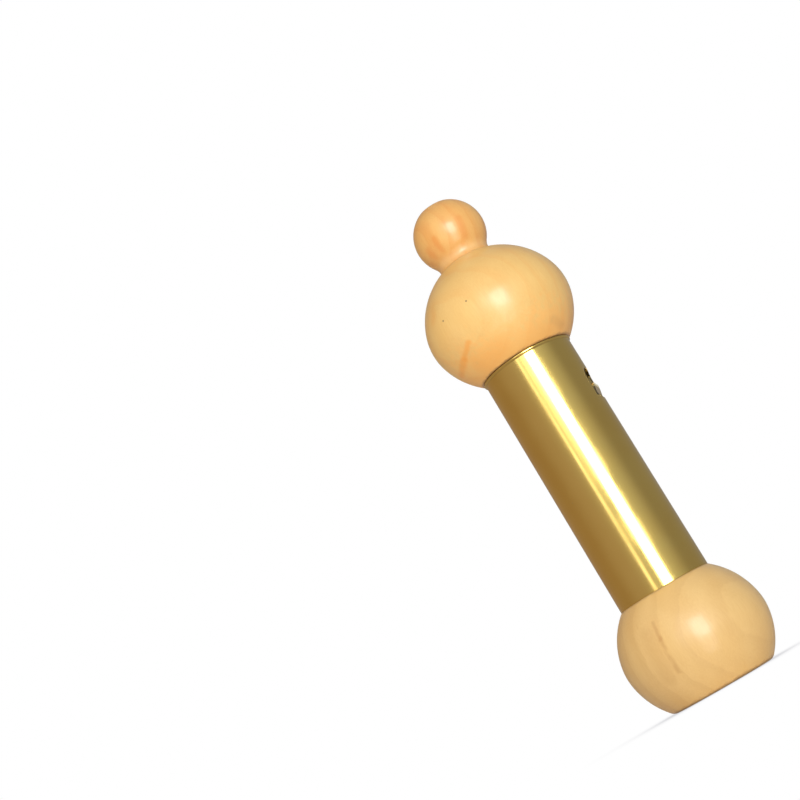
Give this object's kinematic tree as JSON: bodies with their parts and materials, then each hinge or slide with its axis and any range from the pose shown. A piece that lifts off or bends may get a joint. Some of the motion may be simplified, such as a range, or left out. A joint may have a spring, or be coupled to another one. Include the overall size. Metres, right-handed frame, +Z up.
{
  "type": "bird call",
  "caption": "Slide-whistle bird call: a brass pipe with a side window, a turned wooden head and mouthpiece, and a ball handle that slides a plunger to change its note.",
  "frame": {"origin": "centre of the handle ball's flat foot", "axes": "+Z up the pipe towards the mouthpiece, +X the way the window faces"},
  "size_m": [0.0292, 0.0292, 0.1048],
  "materials": {
    "wood_handle": "satin varnish",
    "wood_head": "satin varnish",
    "wood_mouthpiece": "satin varnish",
    "wood_inner": "bare, sanded",
    "brass_tube": "polished",
    "brass_hardware": "bright",
    "leather": "greased"
  },
  "bodies": {
    "plunger": {"handle_ball": "wood_handle", "plunger_rod": "wood_inner", "piston": "wood_inner", "piston_washer": "brass_hardware", "piston_screw": "brass_hardware"},
    "seal": {"piston_seal": "leather"},
    "barrel": {"brass_tube": "brass_tube", "guide_bush": "wood_inner", "fipple_block": "wood_inner", "head_ball": "wood_head", "mouthpiece": "wood_mouthpiece"}
  },
  "joints": [
    {"name": "barrel_turn", "type": "hinge", "parent": "plunger", "child": "seal", "pos_m": [0, 0, 0.05197], "axis": [0, 0, 1], "continuous": true},
    {"name": "barrel_slide", "type": "slide", "parent": "seal", "child": "barrel", "axis": [0, 0, 1], "range_m": [0, 0.02045]}
  ]
}
